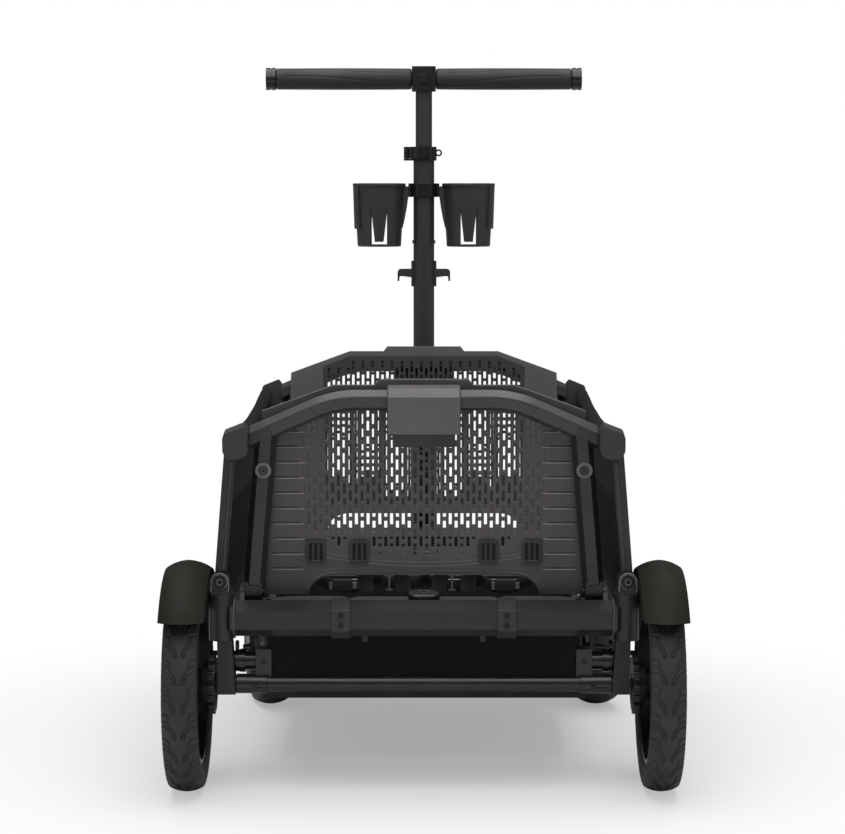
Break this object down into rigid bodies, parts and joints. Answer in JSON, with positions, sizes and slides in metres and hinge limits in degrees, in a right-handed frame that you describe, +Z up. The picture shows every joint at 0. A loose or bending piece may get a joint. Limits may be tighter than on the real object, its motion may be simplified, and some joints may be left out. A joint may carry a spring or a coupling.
{
  "type": "stroller wagon",
  "caption": "Folding stroller wagon: fabric tub with moulded end walls and a footwell on a tube frame, fendered rear wheels, swivel front casters and a telescopic pull handle with cup holders.",
  "frame": {"origin": "middle of the wagon on the ground", "axes": "+X to the right seen from behind, +Y towards the handle end, +Z up"},
  "size_m": [0.707, 1.0234, 1.0325],
  "materials": {
    "anodised_tube": "dark anodised, satin",
    "charcoal_moulding": "fine grain moulding",
    "black_moulding": "satin moulding",
    "steel": "zinc plated",
    "cloth": "woven canvas",
    "webbing": "woven webbing",
    "tyre_rubber": "matt foam rubber",
    "grip_rubber": "soft grip"
  },
  "bodies": {
    "chassis": {"crossmembers": "anodised_tube", "side_rails": "anodised_tube", "rear_axle": "anodised_tube", "brake_carriers": "black_moulding", "tube_brackets": "black_moulding", "knuckles": "black_moulding", "frame_bolts": "steel", "pivot_pins": "steel", "footwell_pan": "black_moulding", "footwell_skirt": "cloth", "seat_decks": "black_moulding", "seat_pads": "cloth", "harness": "webbing", "side_fabrics": "cloth", "fenders": "charcoal_moulding", "caster_housings": "black_moulding", "handle_yoke": "black_moulding"},
    "left_side": {"left_corner_posts": "anodised_tube", "left_corner_caps": "charcoal_moulding"},
    "right_side": {"right_corner_posts": "anodised_tube", "right_corner_caps": "charcoal_moulding"},
    "rear_wall": {"rear_uprights": "anodised_tube", "rear_arch_tube": "anodised_tube", "rear_arch_ends": "charcoal_moulding", "rear_panel_frame": "charcoal_moulding", "rear_grille": "charcoal_moulding", "rear_latch_cover": "charcoal_moulding", "rear_wall_bolts": "steel"},
    "rear_release": {"rear_release_lever": "black_moulding"},
    "front_wall": {"front_uprights": "anodised_tube", "front_arch_tube": "anodised_tube", "front_arch_ends": "charcoal_moulding", "front_panel_frame": "charcoal_moulding", "front_grille": "charcoal_moulding", "front_latch_cover": "charcoal_moulding", "front_wall_bolts": "steel"},
    "front_release": {"front_release_lever": "black_moulding"},
    "handle": {"pole_foot": "black_moulding", "pole_outer_tube": "anodised_tube", "clamp_collar": "black_moulding", "cup_clamp": "black_moulding", "left_cup": "black_moulding", "right_cup": "black_moulding", "hook_bracket": "black_moulding"},
    "handle_top": {"pole_inner_tube": "anodised_tube", "tee_block": "black_moulding", "handle_grips": "grip_rubber", "grip_caps": "black_moulding"},
    "button": {"tee_button": "steel"},
    "clamp": {"clamp_lever": "black_moulding"},
    "left_caster": {"left_caster_fork": "black_moulding"},
    "left_caster_roller": {"left_caster_wheel": "tyre_rubber"},
    "left_rear_wheel": {"left_rear_tyre": "tyre_rubber", "left_rear_rim": "black_moulding"},
    "left_brake": {"left_brake_pedal": "black_moulding"},
    "right_caster": {"right_caster_fork": "black_moulding"},
    "right_caster_roller": {"right_caster_wheel": "tyre_rubber"},
    "right_rear_wheel": {"right_rear_tyre": "tyre_rubber", "right_rear_rim": "black_moulding"},
    "right_brake": {"right_brake_pedal": "black_moulding"}
  },
  "joints": [
    {"name": "left_side_fold", "type": "hinge", "parent": "chassis", "child": "left_side", "pos_m": [-0.2785, -0.37224, 0.291], "axis": [0, 1, 0], "range_deg": [0, 85]},
    {"name": "right_side_fold", "type": "hinge", "parent": "chassis", "child": "right_side", "pos_m": [0.2785, -0.37224, 0.291], "axis": [0, -1, 0], "range_deg": [0, 85]},
    {"name": "rear_wall_fold", "type": "hinge", "parent": "chassis", "child": "rear_wall", "pos_m": [0, -0.33675, 0.27], "axis": [-1, 0, 0], "range_deg": [0, 90]},
    {"name": "front_wall_fold", "type": "hinge", "parent": "chassis", "child": "front_wall", "pos_m": [0, 0.37725, 0.27], "axis": [1, 0, 0], "range_deg": [0, 90]},
    {"name": "rear_release_press", "type": "slide", "parent": "rear_wall", "child": "rear_release", "axis": [0, -0.1478, 0.989], "range_m": [0, 0.006], "stiffness_N_per_m": 600, "springref_m": -0.002},
    {"name": "front_release_press", "type": "slide", "parent": "front_wall", "child": "front_release", "axis": [0, 0.1478, 0.989], "range_m": [0, 0.006], "stiffness_N_per_m": 600, "springref_m": -0.002},
    {"name": "handle_tilt", "type": "hinge", "parent": "chassis", "child": "handle", "pos_m": [0, 0.46725, 0.238], "axis": [-1, 0, 0], "range_deg": [0, 75]},
    {"name": "handle_telescope", "type": "slide", "parent": "handle", "child": "handle_top", "axis": [0, 0, 1], "range_m": [-0.085, 0.1]},
    {"name": "tee_button_press", "type": "slide", "parent": "handle_top", "child": "button", "axis": [0, 1, 0], "range_m": [0, 0.003], "stiffness_N_per_m": 400, "springref_m": -0.001},
    {"name": "clamp_lever_swing", "type": "hinge", "parent": "handle", "child": "clamp", "pos_m": [-0.028, 0.46725, 0.889], "axis": [0, 0, -1], "range_deg": [0, 100]},
    {"name": "left_caster_swivel", "type": "hinge", "parent": "chassis", "child": "left_caster", "pos_m": [-0.262, 0.28325, 0.195], "axis": [0, 0, 1], "continuous": true},
    {"name": "left_caster_roll", "type": "hinge", "parent": "left_caster", "child": "left_caster_roller", "pos_m": [-0.24906, 0.23495, 0.09], "axis": [0.9659, 0.2588, 0], "continuous": true},
    {"name": "left_wheel_roll", "type": "hinge", "parent": "chassis", "child": "left_rear_wheel", "pos_m": [-0.3245, -0.36475, 0.147], "axis": [1, 0, 0], "continuous": true},
    {"name": "left_brake_press", "type": "hinge", "parent": "chassis", "child": "left_brake", "pos_m": [-0.23, -0.35275, 0.177], "axis": [-1, 0, 0], "range_deg": [0, 12]},
    {"name": "right_caster_swivel", "type": "hinge", "parent": "chassis", "child": "right_caster", "pos_m": [0.262, 0.28325, 0.195], "axis": [0, 0, 1], "continuous": true},
    {"name": "right_caster_roll", "type": "hinge", "parent": "right_caster", "child": "right_caster_roller", "pos_m": [0.27494, 0.23495, 0.09], "axis": [0.9659, 0.2588, 0], "continuous": true},
    {"name": "right_wheel_roll", "type": "hinge", "parent": "chassis", "child": "right_rear_wheel", "pos_m": [0.3245, -0.36475, 0.147], "axis": [1, 0, 0], "continuous": true},
    {"name": "right_brake_press", "type": "hinge", "parent": "chassis", "child": "right_brake", "pos_m": [0.23, -0.35275, 0.177], "axis": [-1, 0, 0], "range_deg": [0, 12]}
  ]
}
